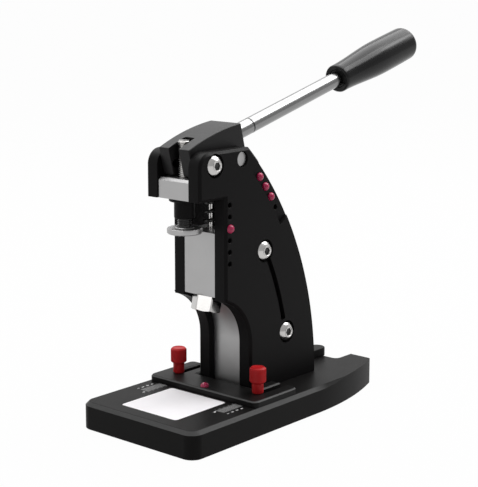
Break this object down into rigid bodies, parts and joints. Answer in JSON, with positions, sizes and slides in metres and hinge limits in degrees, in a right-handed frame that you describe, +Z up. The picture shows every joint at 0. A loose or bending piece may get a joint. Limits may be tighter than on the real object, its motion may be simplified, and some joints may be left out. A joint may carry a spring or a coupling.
{
  "type": "manual leather hand press",
  "caption": "Bench press for leather work: a lever drives a sprung ram down between two side plates onto a pad in a flat base, with a sliding back stop held by thumb screws.",
  "frame": {"origin": "on the underside of the base, straight below the ram axis, in the middle of the width", "axes": "+Z up along the ram axis, +X to the right as the user sees it, the front edge of the base faces -Y and the lever points to +Y"},
  "size_m": [0.12, 0.3532, 0.3009],
  "materials": {
    "black_anodised": "fine matte black",
    "base_black": "matte black, blasted",
    "bare_steel": "satin",
    "bright_steel": "polished",
    "spring_steel": "blackened",
    "white_nylon": "smooth matte",
    "magenta": "glossy",
    "red_anodised": "satin, knurled",
    "grip_black": "glossy"
  },
  "bodies": {
    "frame": {"base_plate": "base_black", "cutting_pad": "white_nylon", "side_plate_left": "black_anodised", "side_plate_right": "black_anodised", "upper_spacer": "bare_steel", "lower_spacer": "bare_steel", "hex_bolt": "bright_steel", "frame_screws": "bright_steel", "nose_screws": "bright_steel", "foot_screws": "spring_steel", "pivot_pin": "bare_steel", "index_pins": "magenta", "guide_post": "bright_steel", "return_spring": "spring_steel", "anchor_tongue": "base_black", "tongue_screw": "spring_steel"},
    "lever": {"lever_head": "black_anodised", "lever_rod": "bright_steel", "lever_grip": "grip_black"},
    "ram": {"crosshead": "bare_steel", "ram_rod": "bright_steel", "cross_pin": "bright_steel", "ram_flange": "black_anodised", "ram_holder": "black_anodised", "die_adapter": "bare_steel"},
    "back_stop": {"stop_plate": "black_anodised", "stop_pin": "magenta"},
    "thumb_left": {"thumb_screw_left": "red_anodised"},
    "thumb_right": {"thumb_screw_right": "red_anodised"}
  },
  "joints": [
    {"name": "lever_swing", "type": "hinge", "parent": "frame", "child": "lever", "pos_m": [0, 0.0357, 0.2102], "axis": [1, 0, 0], "range_deg": [0, 25]},
    {"name": "ram_slide", "type": "slide", "parent": "frame", "child": "ram", "axis": [0, 0, -1], "range_m": [0, 0.017], "deforming": ["return_spring"]},
    {"name": "stop_slide", "type": "slide", "parent": "frame", "child": "back_stop", "axis": [0, -1, 0], "range_m": [0, 0.025]},
    {"name": "thumb_left_turn", "type": "hinge", "parent": "frame", "child": "thumb_left", "pos_m": [-0.0425, 0.037, 0.0216], "axis": [0, 0, 1], "continuous": true},
    {"name": "thumb_right_turn", "type": "hinge", "parent": "frame", "child": "thumb_right", "pos_m": [0.0425, 0.037, 0.0216], "axis": [0, 0, 1], "continuous": true}
  ],
  "couplings": [
    {"joint": "ram_slide", "follows": "lever_swing", "m_per_rad": 0.038961}
  ]
}
